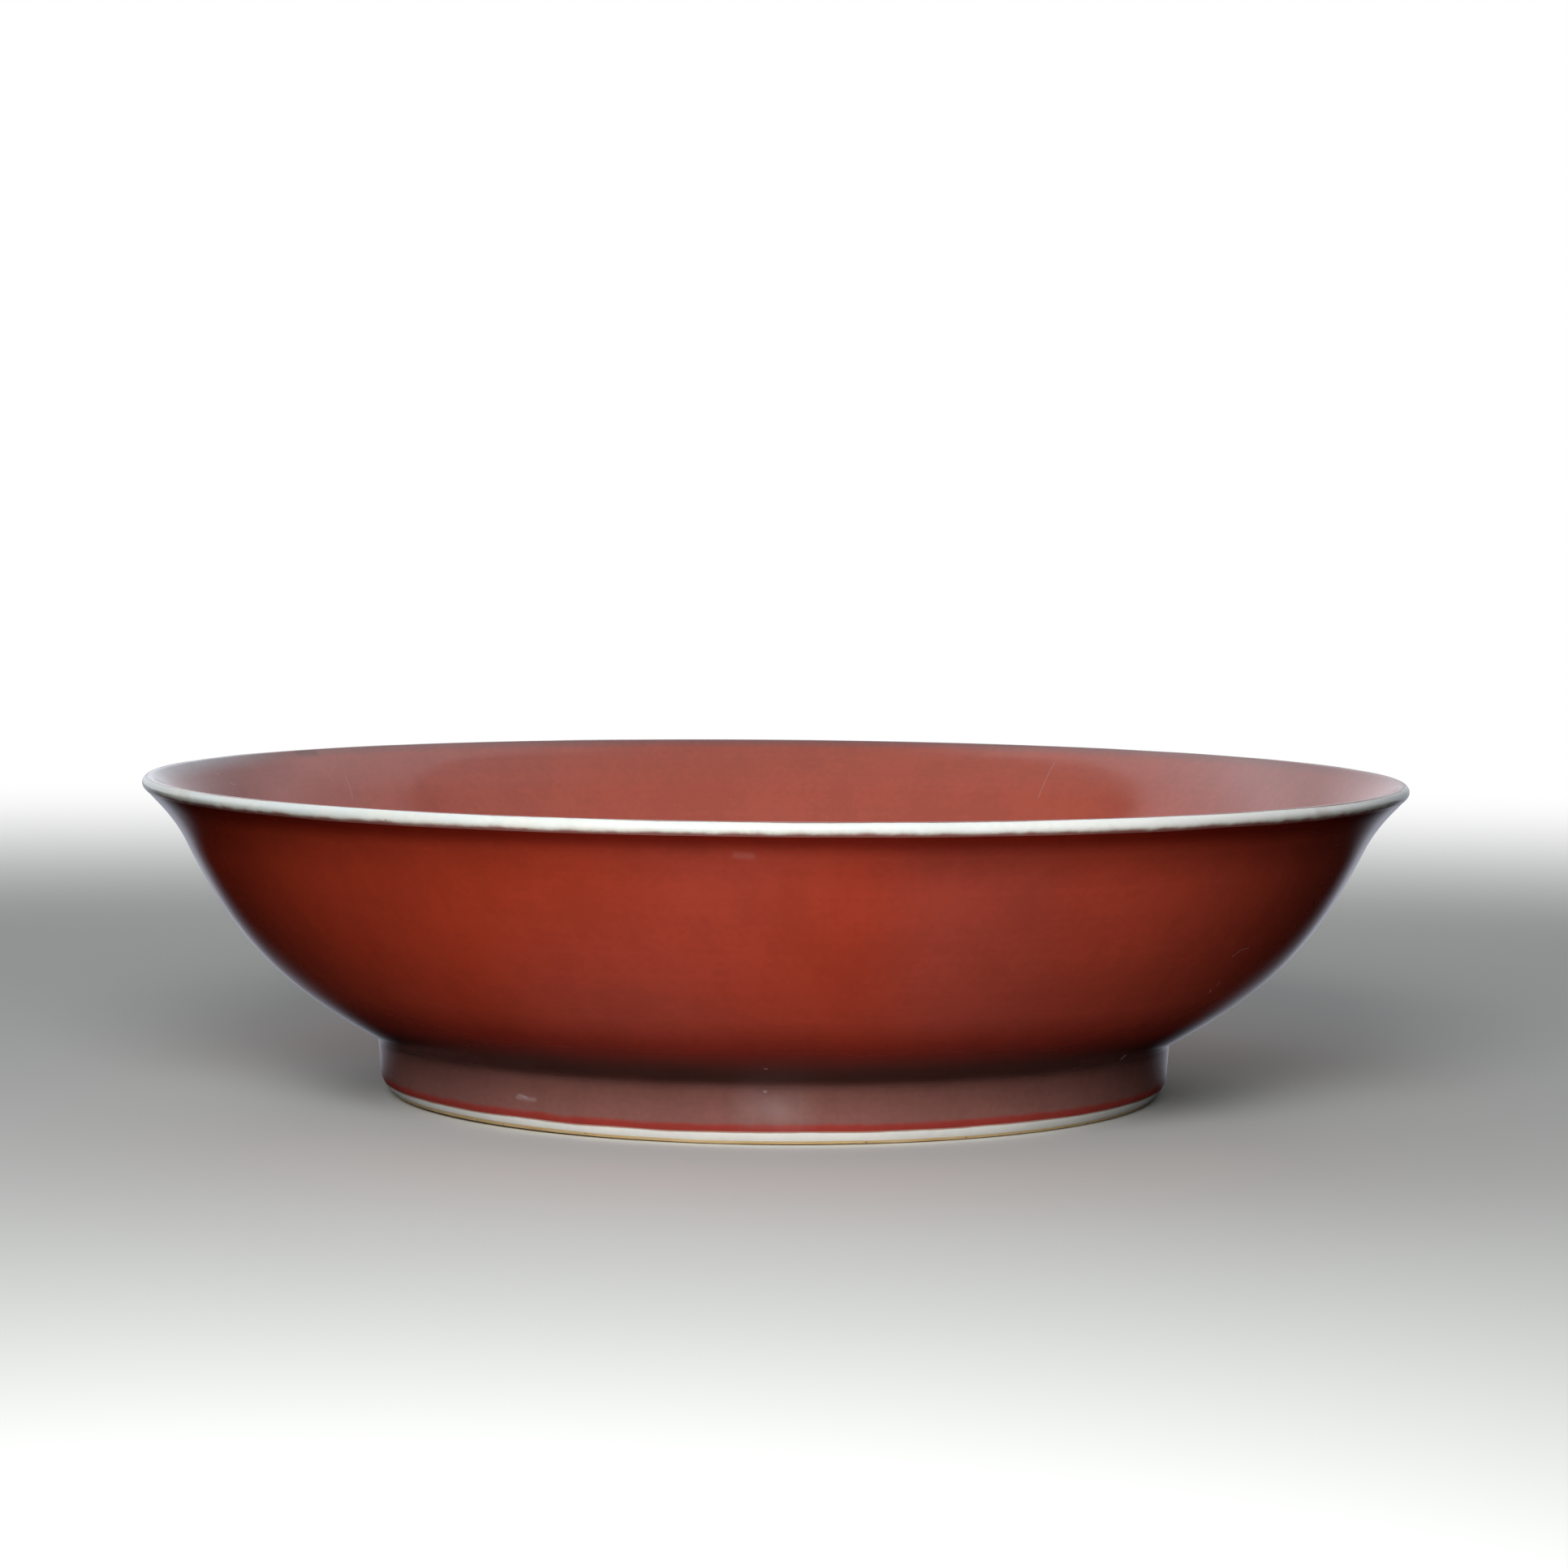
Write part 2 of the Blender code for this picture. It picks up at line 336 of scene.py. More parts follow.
BARE_PATCH = BARE_PATCH_WIDTH * np.exp(-((ANGLES - BARE_PATCH_BEARING) / BARE_PATCH_SPREAD) ** 2)
EDGES = {
    "rim_inner": OUTLINE.lip_inner + LIP_RED_OVER + wander(RIM_WANDER, seed=3),
    "rim_outer": OUTLINE.lip_outer + RIM_WHITE_OUTSIDE + RIM_SOFT_EDGE + wander(RIM_WANDER, seed=5),
    "foot_red": OUTLINE.rest_outer - FOOT_BARE_OUTSIDE - FOOT_WHITE_WIDTH + wander(FOOT_WANDER, seed=7),
    "foot_white": OUTLINE.rest_outer - FOOT_BARE_OUTSIDE - BARE_PATCH + wander(FOOT_WANDER, seed=9),
    "base": OUTLINE.rest_inner + FOOT_BARE_INSIDE + wander(FOOT_WANDER, seed=11),
    "well_middle": np.zeros(COLUMNS),
    "base_middle": np.full(COLUMNS, OUTLINE.middle),
}


def stations_between(start, end):
    """Distances along the line, one row each: the line's own points, and more beside the two edges."""
    first = start.mean()
    last = end.mean()
    own = OUTLINE.distance
    own = own[(own > first + EDGE_CLEAR) & (own < last - EDGE_CLEAR)]
    steps = np.array(EDGE_STEPS)
    rows = np.concatenate(([first], first + steps, own, last - steps[::-1], [last]))
    from_first = np.clip(1.0 - (rows - first) / EDGE_REACH, 0.0, 1.0)[:, None] ** 2
    from_last = np.clip(1.0 - (last - rows) / EDGE_REACH, 0.0, 1.0)[:, None] ** 2
    return rows[:, None] + from_first * (start - first)[None, :] + from_last * (end - last)[None, :]


def ring_relief(stations):
    """Faint turning rings, which drift a little round the dish."""
    relief = np.zeros_like(stations)
    for length in RING_LENGTHS:
        drift = RING_DRIFT * np.sin(ANGLES + RING_TURN * length)
        relief += np.sin(2 * math.pi * stations / length + drift[None, :])
    return RING_HEIGHT * relief


def radius_at(height, inside):
    """Radius of the dish at a height in millimetres, on its inside or its outside."""
    side = OUTLINE.distance <= OUTLINE.lip_inner
    if not inside:
        side = (OUTLINE.distance >= OUTLINE.lip_outer) & (OUTLINE.distance <= OUTLINE.rest_outer)
    points = OUTLINE.points[side]
    points = points[np.argsort(points[:, 1], kind="stable")]
    return float(np.interp(height / MM_PER_METRE, points[:, 1], points[:, 0]))


# Turned meshes

def lathe(name, rows, facts, on_axis):
    """A closed mesh from rows of section points, one row for each ring. A ring on the axis is one point."""
    count = len(rows)
    radius, height = rows[..., 0], rows[..., 1]
    points = np.stack((radius * np.cos(ANGLES), radius * np.sin(ANGLES), height), axis=-1)
    index = np.arange(count * COLUMNS).reshape(count, COLUMNS)
    keep = np.ones(count * COLUMNS, bool)
    if on_axis:
        for ring in (0, count - 1):
            keep[index[ring, 1:]] = False
            points[ring, :, :2] = 0.0
            index[ring, :] = index[ring, 0]
    renumber = np.cumsum(keep) - 1
    index = renumber[index]
    faces = []
    last = count - 1 if on_axis else count
    for ring in range(last):
        upper = index[ring]
        lower = index[(ring + 1) % count]
        quads = np.stack((upper, lower, np.roll(lower, -1), np.roll(upper, -1)), axis=1)
        for a, b, c, d in quads.tolist():
            if a == d:
                faces.append((a, b, c))
            elif b == c:
                faces.append((a, b, d))
            else:
                faces.append((a, b, c, d))
    mesh = bpy.data.meshes.new(name)
    mesh.from_pydata(points.reshape(-1, 3)[keep].tolist(), [], faces)
    for fact, values in facts.items():
        attribute = mesh.attributes.new(fact, "FLOAT", "POINT")
        attribute.data.foreach_set("value", values.reshape(-1)[keep].astype(np.float32))
    mesh.shade_smooth()
    mesh.set_sharp_from_angle(angle=SHARP_ANGLE)
    mesh.validate()
    piece = bpy.data.objects.new(name, mesh)
    bpy.context.scene.collection.objects.link(piece)
    return piece


def coat(name, start, end, relief):
    """A glaze coat between two edges, closed underneath."""
    stations = stations_between(EDGES[start], EDGES[end])
    from_start = stations - EDGES[start][None, :]
    to_end = EDGES[end][None, :] - stations
    top = OUTLINE.at(stations, relief(stations, from_start, to_end))
    chosen = np.unique(np.concatenate((np.arange(0, len(stations), UNDER_STRIDE), [len(stations) - 1])))
    under = OUTLINE.at(stations[chosen], np.full_like(stations[chosen], -GLAZE_THICKNESS))
    if end == "base_middle":
        rows = np.concatenate((under[::-1], top))
        order = (chosen[::-1], np.arange(len(stations)))
    else:
        rows = np.concatenate((top, under[::-1]))
        order = (np.arange(len(stations)), chosen[::-1])
    order = np.concatenate(order)
    facts = {"from_start": from_start[order], "to_end": to_end[order]}
    return lathe(name, rows, facts, start == "well_middle" or end == "base_middle")


def wall_relief(stations, from_start, to_end):
    """Turning rings on the outside, thin at the lip, with a bead at the lower edge."""
    thin_start = -EDGE_THIN * np.exp(-from_start / EDGE_THIN_LENGTH)
    bead = BEAD_HEIGHT * np.exp(-((to_end - BEAD_INSET) / BEAD_WIDTH) ** 2)
    return ring_relief(stations) + thin_start + bead


def inside_relief(stations, from_start, to_end):
    """Turning rings on the inside, none at the very middle, thin at the lip."""
    ease = np.clip(from_start / RING_EASE, 0.0, 1.0)
    return ring_relief(stations) * ease - EDGE_THIN * np.exp(-to_end / EDGE_THIN_LENGTH)


def plain_relief(stations, from_start, to_end):
    """No relief."""
    return np.zeros_like(stations)


def foot_biscuit(name):
    """The foot ring, bare round its rest and stepped in under the coats beside it."""
    outside = np.linspace(OUTLINE.crease, EDGES["foot_white"], FOOT_HIDDEN_ROWS)
    bare = stations_between(EDGES["foot_white"], EDGES["base"])
    inside = np.linspace(EDGES["base"], np.full(COLUMNS, OUTLINE.base_corner), BASE_HIDDEN_ROWS)
    rows = np.concatenate((
        OUTLINE.at(outside, np.full_like(outside, -GLAZE_THICKNESS)),
        OUTLINE.at(bare, np.zeros_like(bare)),
        OUTLINE.at(inside, np.full_like(inside, -GLAZE_THICKNESS)),
    ))
    stations = np.concatenate((outside, bare, inside))
    facts = {
        "from_start": stations - EDGES["foot_white"][None, :],
        "to_end": EDGES["base"][None, :] - stations,
    }
    return lathe(name, rows, facts, False)


# Materials

GLAZE_IOR = 1.52
NOISE_SPAN = (0.3, 0.7)
CLOUD_SPAN = (0.35, 0.65)
PATCH_NOISE = (60.0, 3.0)
ROUGHNESS_SPREAD = 0.2
SPECK_CORE = 0.6
SPECK_CHOICE = (0.82, 0.84)


class Finish:
    """A procedural material, with short calls for the nodes it needs."""

    def __init__(self, name, roughness):
        self.material = bpy.data.materials.new(name)
        self.material.use_nodes = True
        self.tree = self.material.node_tree
        self.shader = self.tree.nodes["Principled BSDF"]
        self.shader.inputs["IOR"].default_value = GLAZE_IOR
        coordinates = self.tree.nodes.new("ShaderNodeTexCoord")
        self.place = coordinates.outputs["Object"]
        split = self.tree.nodes.new("ShaderNodeSeparateXYZ")
        self.tree.links.new(self.place, split.inputs[0])
        self.x, self.y, self.z = split.outputs
        least = roughness * (1.0 - ROUGHNESS_SPREAD)
        most = roughness * (1.0 + ROUGHNESS_SPREAD)
        self.roughness = self.span(self.noise(*PATCH_NOISE), *NOISE_SPAN, least, most)
        self.put(self.shader.inputs["Roughness"], self.roughness)

    def put(self, socket, value):
        """Link a socket to another one, or set its value."""
        if isinstance(value, bpy.types.NodeSocket):
            self.tree.links.new(value, socket)
        elif value is not None:
            socket.default_value = value

    def fact(self, name):
        """A number that the mesh carries at each point."""
        node = self.tree.nodes.new("ShaderNodeAttribute")
        node.attribute_name = name
        return node.outputs["Fac"]

    def math(self, operation, first, second=None):
        node = self.tree.nodes.new("ShaderNodeMath")
        node.operation = operation
        self.put(node.inputs[0], first)
        self.put(node.inputs[1], second)
        return node.outputs[0]

    def plus(self, first, second):
        return self.math("ADD", first, second)

    def minus(self, first, second):
        return self.math("SUBTRACT", first, second)

    def times(self, first, second):
        return self.math("MULTIPLY", first, second)

    def span(self, value, low, high, to_low=0.0, to_high=1.0):
        """A soft step from one number to another while a value goes from low to high."""
        node = self.tree.nodes.new("ShaderNodeMapRange")
        node.interpolation_type = "SMOOTHSTEP"
        self.put(node.inputs["Value"], value)
        node.inputs["From Min"].default_value = low
        node.inputs["From Max"].default_value = high
        node.inputs["To Min"].default_value = to_low
        node.inputs["To Max"].default_value = to_high
        return node.outputs["Result"]

    def mix(self, factor, first, second, blend="MIX"):
        """A blend of two colours."""
        node = self.tree.nodes.new("ShaderNodeMix")
        node.data_type = "RGBA"
        node.blend_type = blend
        self.put(node.inputs[0], factor)
        self.put(node.inputs[6], first if isinstance(first, bpy.types.NodeSocket) else (*first, 1.0))
        self.put(node.inputs[7], second if isinstance(second, bpy.types.NodeSocket) else (*second, 1.0))
        return node.outputs[2]

    def vector(self, x, y, z):
        node = self.tree.nodes.new("ShaderNodeCombineXYZ")
        for socket, value in zip(node.inputs, (x, y, z)):
            self.put(socket, value)
        return node.outputs[0]

    def noise(self, scale, detail=2.0, place=None):
        node = self.tree.nodes.new("ShaderNodeTexNoise")
        self.put(node.inputs["Vector"], place or self.place)
        node.inputs["Scale"].default_value = scale
        node.inputs["Detail"].default_value = detail
        return node.outputs["Fac"]

    def specks(self, scale, size):
        """Small round spots, 1 inside and 0 outside, scattered one to a cell at most."""
        node = self.tree.nodes.new("ShaderNodeTexVoronoi")
        self.put(node.inputs["Vector"], self.place)
        node.inputs["Scale"].default_value = scale
        chosen = self.tree.nodes.new("ShaderNodeSeparateColor")
        self.put(chosen.inputs[0], node.outputs["Color"])
        near = self.span(node.outputs["Distance"], size, size * SPECK_CORE)
        return self.times(near, self.span(chosen.outputs[0], *SPECK_CHOICE))

    def stroke(self, first, last, width, inside):
        """1 along a stroke over the dish between two bearings and heights, soft at its sides."""
        radius = radius_at(first[1], inside)
        turn = math.radians(first[0])
        around = radius * (math.radians(last[0]) - turn)
        up = (last[1] - first[1]) / MM_PER_METRE
        bearing = self.minus(self.math("ARCTAN2", self.x, self.times(self.y, -1.0)), turn)
        along = self.times(bearing, radius)
        rise = self.minus(self.z, first[1] / MM_PER_METRE)
        length_squared = around**2 + up**2
        share = self.plus(self.times(along, around / length_squared), self.times(rise, up / length_squared))
        share = self.math("MINIMUM", self.math("MAXIMUM", share, 0.0), 1.0)
        off_along = self.minus(along, self.times(share, around))
        off_rise = self.minus(rise, self.times(share, up))
        off = self.plus(self.times(off_along, off_along), self.times(off_rise, off_rise))
        return self.span(self.math("SQRT", off), width, 0.0)

    def stretched(self, around, along, fact):
        """Places that are close together round the dish or along its section."""
        return self.vector(self.times(self.x, around), self.times(self.y, around), self.times(fact, along))

    def colour(self, socket):
        self.put(self.shader.inputs["Base Color"], socket)

    def bump(self, height, strength, distance):
        node = self.tree.nodes.new("ShaderNodeBump")
        node.inputs["Strength"].default_value = strength
        node.inputs["Distance"].default_value = distance
        self.put(node.inputs["Height"], height)
        self.put(self.shader.inputs["Normal"], node.outputs[0])


# Colours of the glazes, their flaws and the bare clay, and of painted shade, highlights and reflections
RED = (0.35, 0.050, 0.030)
RED_ORANGE = (0.37, 0.039, 0.016)
RED_EMBER = (0.425, 0.054, 0.028)
RED_INSIDE = (0.55, 0.116, 0.064)
RED_INSIDE_DEEP = (0.52, 0.093, 0.046)
RED_THIN = (0.30, 0.115, 0.100)
# Lilacs of the inside: painted reflections of the pale surroundings
RED_LILAC_REFLECTION = (0.22, 0.120, 0.125)
LIP_LILAC_REFLECTION = (0.48, 0.45, 0.48)
RED_DEEP = (0.19, 0.012, 0.005)
RED_BRIGHT = (0.34, 0.045, 0.034)
RED_BROWN = (0.15, 0.009, 0.003)
# Dark of specks, and painted shade above the crease
DARK_SPECK_AND_CREASE_SHADE = (0.042, 0.0075, 0.004)
# Mauve of the thinner glaze on the foot, with a painted reflection haze in it
FOOT_MAUVE_AND_PAINTED_HAZE = (0.240, 0.099, 0.083)
WHITE = (0.83, 0.85, 0.80)
WHITE_BRIGHT = (0.92, 0.93, 0.89)
WHITE_WARM = (0.78, 0.74, 0.64)
WHITE_COOL = (0.78, 0.84, 0.82)
PALE_EDGE = (0.50, 0.30, 0.24)
STAIN = (0.50, 0.41, 0.30)
# Pale of scratches, and of painted highlights on the outside
SCRATCH_AND_HIGHLIGHT = (0.60, 0.52, 0.52)
BISCUIT = (0.88, 0.69, 0.39)
BISCUIT_BURNT = (0.75, 0.51, 0.23)
BISCUIT_DIRT = (0.16, 0.11, 0.06)

# Wear, and on the outside painted highlights below the rim and on the foot at the front: two ends, each a
# bearing in degrees from the front and a height in millimetres, then the stroke's width in metres and its
# strength
PALE_STROKES_INSIDE = (
    ((-127.5, 47.9), (-126.9, 43.9), 0.00014, 0.32),
    ((148.6, 49.8), (149.1, 43.4), 0.00014, 0.32),
    ((-106.6, 48.6), (-107.4, 48.1), 0.00018, 0.35),
    ((-105.1, 50.5), (-105.8, 50.1), 0.00018, 0.35),
)
DARK_STROKES_INSIDE = (
    ((-122.8, 52.3), (-125.4, 52.1), 0.0011, 0.40),
)
PALE_MARKS_AND_HIGHLIGHTS_OUTSIDE = (
    ((51.9, 28.6), (52.8, 29.6), 0.00016, 0.50),
    ((52.8, 29.6), (54.2, 29.8), 0.00014, 0.40),
    ((53.6, 22.4), (53.2, 22.9), 0.00020, 0.60),
    ((53.9, 23.4), (53.4, 24.3), 0.00014, 0.45),
    ((52.8, 11.4), (54.0, 10.4), 0.00026, 0.6),
    # Painted highlight: a faint pale smear below the rim at the front
    ((-3.2, 47.6), (-1.9, 47.5), 0.00090, 0.07),
    ((-37.2, 5.4), (-34.2, 5.3), 0.00060, 0.18),
    ((-36.8, 5.8), (-35.6, 5.5), 0.00040, 0.25),
    ((-1.1, 12.8), (-0.8, 12.8), 0.00026, 0.28),
    ((-1.2, 8.5), (-1.0, 8.5), 0.00030, 0.32),
    # Painted highlight: a soft pale sheen on the front of the foot
    ((-2.5, 6.0), (2.5, 5.4), 0.00550, 0.09),
    ((0.0, 6.0), (0.8, 5.4), 0.00300, 0.07),
)


def wear_and_highlights(finish, colour, strokes, tint, inside):
    """Scratches, specks and smears over a glaze, and painted highlights on the outside."""
    for first, last, width, strength in strokes:
        mask = finish.times(finish.stroke(first, last, width, inside), strength)
        colour = finish.mix(mask, colour, tint)
    return colour


# Mottling of a glaze: each noise's scale and detail, or how close its places are round the dish and along
# its section, and the noise's share
CLOUD_NOISE = (70.0, 3.0)
GRAIN_NOISE = (900.0, 2.0)
RING_PLACES = (9.0, 1100.0)
RUN_PLACES = (260.0, 18.0)
CLOUD_SHARE = 0.35
GRAIN_SHARE = 0.3
RING_SHARE = 0.15
RUN_SHARE = 0.2
SHADE_SPAN = (0.2, 0.8)


def mottled(finish, colour, fact, depth):
    """Cloudy patches, fine grain, faint rings and runs in a glaze."""
    cloud = finish.span(finish.noise(*CLOUD_NOISE), *CLOUD_SPAN)
    grain = finish.span(finish.noise(*GRAIN_NOISE), *NOISE_SPAN)
    rings = finish.span(finish.noise(1.0, place=finish.stretched(*RING_PLACES, fact)), *NOISE_SPAN)
    runs = finish.span(finish.noise(1.0, place=finish.stretched(*RUN_PLACES, fact)), *NOISE_SPAN)
    shade = finish.plus(finish.times(cloud, CLOUD_SHARE), finish.times(grain, GRAIN_SHARE))
    shade = finish.plus(shade, finish.times(rings, RING_SHARE))
    shade = finish.plus(shade, finish.times(runs, RUN_SHARE))
    level = finish.span(shade, *SHADE_SPAN, 1.0 - depth, 1.0 + depth)
    return finish.mix(1.0, colour, finish.vector(level, level, level), "MULTIPLY")


# Skin of a glaze: two noises, their shares, and the strength and distance of the bump
PEEL_NOISE = (260.0, 1.0)
PEEL_RING_PLACES = (9.0, 700.0)
PEEL_SHARE = 0.6
PEEL_RING_SHARE = 0.4
PEEL_STRENGTH = 0.16
PEEL_DISTANCE = 0.00012


def orange_peel(finish, fact):
    """The gently uneven skin of a fired glaze."""
    peel = finish.noise(*PEEL_NOISE)
    rings = finish.noise(1.0, place=finish.stretched(*PEEL_RING_PLACES, fact))
    height = finish.plus(finish.times(peel, PEEL_SHARE), finish.times(rings, PEEL_RING_SHARE))
    finish.bump(height, PEEL_STRENGTH, PEEL_DISTANCE)


# Both reds
RED_ROUGHNESS = 0.12
RED_MOTTLE = 0.06
RED_SPECK_SIZE = 0.10
RED_SPECK_STRENGTH = 0.2
TONE_NOISE = (14.0, 1.0)

# Outer red, in metres: heights above the table, places across the dish, and distances from the coat's edges
# or, for the mauve, from the crease. A tint is a colour, then where it comes in and goes out across the dish.
ORANGE_SLOPE = 2.5
OUTSIDE_TINTS = (
    (RED, (0.008, 0.026), (0.052, 0.036)),
    (RED_EMBER, (0.036, 0.054), (0.092, 0.068)),
)
# Painted shade: the far left of the wall darkens towards deep red, where less light falls
PAINTED_SHADE_LEFT = (-0.068, -0.096)
PAINTED_SHADE_LEFT_SHARE = 0.40
# The lower wall darkens towards the crease: thicker glaze, and painted shade in the crease
DEEP_HEIGHTS = (0.022, 0.014)
CREASE_SHADE_HEIGHTS = (0.0160, 0.0112)
# The mauve comes in quickly below the crease, then over a longer reach; that second part leaves painted shade
# at the top of the foot, under the wall
MAUVE_QUICK = (0.0032, -0.0012)
MAUVE_SLOW_SHADE = (0.0, -0.0050)
MAUVE_QUICK_SHARE = 0.74
MAUVE_SLOW_SHADE_SHARE = 0.26
MAUVE_UNEVEN = 0.0008
MAUVE_UNEVEN_SCALE = 160.0
BRIGHT_LINE = (0.0020, 0.0011)
BRIGHT_UNEVEN = 0.0006
BRIGHT_UNEVEN_SCALE = 260.0
PALING = (0.0002, 0.0)
# Brown below the lip: thin glaze, and a painted shadow of the lip
BROWN_AND_SHADOW_UNDER_LIP = (0.0050, 0.0004)
BROWN_ACROSS = (0.004, 0.030)
BROWN_DOWN = (0.0120, 0.0)
BROWN_SHARE = 0.40
OUTER_SPECK_SCALE = 420.0
SATIN_HEIGHTS = (0.0190, 0.0130)
SATIN_FOOT_HEIGHTS = (0.0086, 0.0096)
SATIN_SIDES = (0.068, 0.030)
SATIN_ROUGHNESS = 0.26


def outer_red():
    """Red over the wall with painted shade at its far left, brown and a painted shadow under the lip, darker
    towards the crease from thicker glaze and painted shade, satin above the crease, mauve on the foot with a
    painted reflection haze and painted shade at its top, bright above its lower edge.
    """
    finish = Finish("outer_red_glaze_finish", RED_ROUGHNESS)
    start = finish.fact("from_start")
    end = finish.fact("to_end")
    warmth = finish.minus(finish.noise(*TONE_NOISE), finish.times(finish.x, ORANGE_SLOPE))
    colour = finish.mix(finish.span(warmth, *CLOUD_SPAN), RED, RED_ORANGE)
    for tint, rise, fall in OUTSIDE_TINTS:
        patch = finish.times(finish.span(finish.x, *rise), finish.span(finish.x, *fall))
        colour = finish.mix(patch, colour, tint)
    # Painted shade on the far left of the wall
    colour = finish.mix(finish.span(finish.x, *PAINTED_SHADE_LEFT, 0.0, PAINTED_SHADE_LEFT_SHARE), colour, RED_DEEP)
    # Thicker glaze and painted shade, darker towards the crease
    colour = finish.mix(finish.span(finish.z, *DEEP_HEIGHTS), colour, RED_DEEP)
    colour = finish.mix(finish.span(finish.z, *CREASE_SHADE_HEIGHTS), colour, DARK_SPECK_AND_CREASE_SHADE)

    # Mauve of the foot with a painted reflection haze, and painted shade at its top
    crease = OUTLINE.rest_outer - FOOT_BARE_OUTSIDE - FOOT_WHITE_WIDTH - OUTLINE.crease - CREASE_FILLET
    below = finish.plus(end, finish.times(finish.noise(MAUVE_UNEVEN_SCALE), MAUVE_UNEVEN))
    quick = finish.span(below, *(crease + place for place in MAUVE_QUICK), 0.0, MAUVE_QUICK_SHARE)
    slow = finish.span(below, *(crease + place for place in MAUVE_SLOW_SHADE), 0.0, MAUVE_SLOW_SHADE_SHARE)
    colour = finish.mix(finish.plus(quick, slow), colour, FOOT_MAUVE_AND_PAINTED_HAZE)
    line = finish.plus(end, finish.times(finish.noise(BRIGHT_UNEVEN_SCALE), BRIGHT_UNEVEN))
    colour = finish.mix(finish.span(line, *BRIGHT_LINE), colour, RED_BRIGHT)
    colour = finish.mix(finish.span(end, *PALING), colour, PALE_EDGE)

    # Brown and painted shadow below the lip
    colour = finish.mix(finish.span(start, *BROWN_AND_SHADOW_UNDER_LIP), colour, RED_BROWN)
    brown = finish.times(finish.span(finish.x, *BROWN_ACROSS, 0.0, BROWN_SHARE),
                         finish.span(start, *BROWN_DOWN))
    colour = finish.mix(brown, colour, RED_BROWN)
    colour = mottled(finish, colour, start, RED_MOTTLE)
    specks = finish.times(finish.specks(OUTER_SPECK_SCALE, RED_SPECK_SIZE), RED_SPECK_STRENGTH)
    colour = finish.mix(specks, colour, DARK_SPECK_AND_CREASE_SHADE)
    finish.colour(wear_and_highlights(finish, colour, PALE_MARKS_AND_HIGHLIGHTS_OUTSIDE, SCRATCH_AND_HIGHLIGHT, False))

    satin = finish.times(finish.span(finish.z, *SATIN_HEIGHTS, 0.0, SATIN_ROUGHNESS),
                         finish.span(finish.z, *SATIN_FOOT_HEIGHTS))
    satin = finish.times(satin, finish.span(finish.math("ABSOLUTE", finish.x), *SATIN_SIDES))
    finish.put(finish.shader.inputs["Roughness"], finish.plus(finish.roughness, satin))
    orange_peel(finish, start)
    return finish.material


# Inner red, in metres: places across the dish with a share of painted lilac reflection, and distances from
# the lip
INSIDE_TONE_SPAN = (0.35, 0.6)
# Painted lilac reflections at the two ends of the inside
INSIDE_LILAC_REFLECTION = (
    (-0.015, -0.085, 0.30),
    (-0.082, -0.100, 0.60),
    (0.055, 0.100, 0.50),
)
THIN_AT_LIP = (0.0034, 0.0006)
TIP_ACROSS = (-0.086, -0.101)
TIP_DOWN = (0.0050, 0.0004)
INNER_SPECK_SCALE = 380.0


def inner_red():
    """Red over the inside, with a painted lilac reflection towards its two ends, and pale where it thins at
    the lip.
    """
    finish = Finish("inner_red_glaze_finish", RED_ROUGHNESS)
    start = finish.fact("from_start")
    end = finish.fact("to_end")
    tone = finish.span(finish.noise(*TONE_NOISE), *INSIDE_TONE_SPAN)
    colour = finish.mix(tone, RED_INSIDE, RED_INSIDE_DEEP)
    for near, far, share in INSIDE_LILAC_REFLECTION:
        colour = finish.mix(finish.span(finish.x, near, far, 0.0, share), colour, RED_LILAC_REFLECTION)
    colour = finish.mix(finish.span(end, *THIN_AT_LIP), colour, RED_THIN)
    # Painted reflection: pale lilac at the left tip near the lip
    tip = finish.times(finish.span(finish.x, *TIP_ACROSS), finish.span(end, *TIP_DOWN))
    colour = finish.mix(tip, colour, LIP_LILAC_REFLECTION)
    colour = mottled(finish, colour, start, RED_MOTTLE)
    specks = finish.times(finish.specks(INNER_SPECK_SCALE, RED_SPECK_SIZE), RED_SPECK_STRENGTH)
    colour = finish.mix(specks, colour, DARK_SPECK_AND_CREASE_SHADE)
    colour = wear_and_highlights(finish, colour, PALE_STROKES_INSIDE, SCRATCH_AND_HIGHLIGHT, True)
    finish.colour(wear_and_highlights(finish, colour, DARK_STROKES_INSIDE, DARK_SPECK_AND_CREASE_SHADE, True))
    orange_peel(finish, start)
    return finish.material


# White glazes: noises, and how an edge stains and then takes the colour beside it, in shares of its width
WHITE_ROUGHNESS = 0.16
WHITE_MOTTLE = 0.03
WHITE_CLOUD_NOISE = (110.0, 3.0)
WARM_NOISE = (45.0, 2.0)
WARM_SPAN = (0.55, 0.8, 0.0, 0.6)
UNEVEN_NOISE = (320.0, 3.0)
STAIN_NOISE = (90.0, 4.0)
STAIN_SPAN = (0.62, 0.80, 0.0, 0.35)
EDGE_STAIN = 0.55
EDGE_FROM = 0.5
EDGE_TO = -0.2
START_FADE = 0.0002
WHITE_SPECKS = (300.0, 0.08)
WHITE_SPECK_STRENGTH = 0.5


